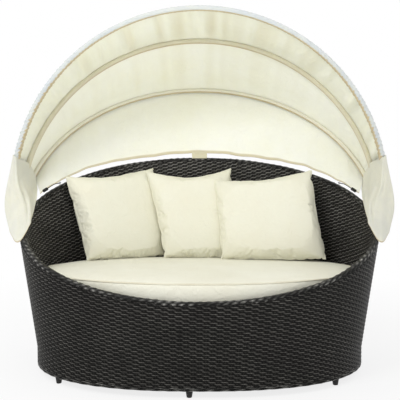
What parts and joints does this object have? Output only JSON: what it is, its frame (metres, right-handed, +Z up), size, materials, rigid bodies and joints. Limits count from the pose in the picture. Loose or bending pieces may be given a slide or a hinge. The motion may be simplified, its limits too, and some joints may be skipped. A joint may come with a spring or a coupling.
{
  "type": "outdoor daybed with canopy",
  "caption": "Oval woven outdoor daybed with a cream seat cushion, loose throw pillows and a folding cloth canopy on bows.",
  "frame": {"origin": "on the floor under the middle of the overall box; the tub's middle lies 0.12 m in front of it", "axes": "+X to the right as seen from the front, along the width; +Y to the back; +Z up; the open front faces -Y"},
  "size_m": [1.8768, 1.4071, 1.7333],
  "materials": {
    "woven_rattan": "flat resin strands woven over and under, dark espresso, mild gloss",
    "frame_tube": "powder coated aluminium tube and bar, dark brown, inside the wall and under the seat",
    "bow_tube": "satin aluminium tube, pressed flat at the ends",
    "black_plastic": "black moulded plastic, satin",
    "steel": "stainless steel, brushed",
    "black_cord": "black braided cord",
    "canopy_fabric": "cream woven outdoor cloth, matt",
    "sleeve_fabric": "beige grey woven cloth, matt",
    "cushion_fabric": "cream woven outdoor cloth with a piped edge, matt"
  },
  "bodies": {
    "root": {"base_ring": "frame_tube", "rim_tube": "frame_tube", "seat_ring": "frame_tube", "upright_1": "frame_tube", "upright_2": "frame_tube", "upright_3": "frame_tube", "upright_4": "frame_tube", "upright_5": "frame_tube", "upright_6": "frame_tube", "upright_7": "frame_tube", "base_crossbar_1": "frame_tube", "base_crossbar_2": "frame_tube", "seat_slat_1": "frame_tube", "seat_slat_2": "frame_tube", "seat_slat_3": "frame_tube", "seat_slat_4": "frame_tube", "seat_slat_5": "frame_tube", "seat_deck": "woven_rattan", "foot_1": "black_plastic", "foot_2": "black_plastic", "foot_3": "black_plastic", "foot_4": "black_plastic", "foot_5": "black_plastic", "foot_6": "black_plastic", "outer_skin": "woven_rattan", "inner_skin": "woven_rattan", "rim_wrap": "woven_rattan", "base_band": "woven_rattan", "seat_cushion": "cushion_fabric", "pillow_left": "cushion_fabric", "pillow_middle": "cushion_fabric", "pillow_right": "cushion_fabric", "left_pivot_bracket": "black_plastic", "right_pivot_bracket": "black_plastic", "left_pivot_bolt": "steel", "right_pivot_bolt": "steel", "left_washer_1": "black_plastic", "left_washer_2": "black_plastic", "left_washer_3": "black_plastic", "right_washer_1": "black_plastic", "right_washer_2": "black_plastic", "right_washer_3": "black_plastic", "left_flap": "canopy_fabric", "right_flap": "canopy_fabric", "hem_tab": "sleeve_fabric", "left_tie_cord": "black_cord", "right_tie_cord": "black_cord", "left_tie_ring": "steel", "right_tie_ring": "steel", "left_toggle": "black_plastic", "right_toggle": "black_plastic"},
    "rear_bow": {"rear_bow": "bow_tube", "rear_sleeve": "sleeve_fabric", "rear_panel": "canopy_fabric"},
    "middle_bow": {"middle_bow": "bow_tube", "middle_sleeve": "sleeve_fabric", "middle_panel": "canopy_fabric"},
    "front_bow": {"front_bow": "bow_tube", "front_sleeve": "sleeve_fabric", "front_panel": "canopy_fabric"}
  },
  "joints": [
    {"name": "canopy_fold", "type": "hinge", "parent": "root", "child": "rear_bow", "pos_m": [0, -0.02, 0.688], "axis": [-1, 0, 0], "range_deg": [0, 24.6], "deforming": ["rear_panel", "left_flap", "right_flap"]},
    {"name": "middle_fold", "type": "hinge", "parent": "rear_bow", "child": "middle_bow", "pos_m": [0, -0.02, 0.688], "axis": [-1, 0, 0], "range_deg": [0, 15.7], "deforming": ["middle_panel"]},
    {"name": "front_fold", "type": "hinge", "parent": "middle_bow", "child": "front_bow", "pos_m": [0, -0.02, 0.688], "axis": [-1, 0, 0], "range_deg": [0, 12.4], "deforming": ["front_panel"]}
  ],
  "couplings": [
    {"joint": "middle_fold", "follows": "canopy_fold", "ratio": 0.638},
    {"joint": "front_fold", "follows": "canopy_fold", "ratio": 0.504}
  ]
}
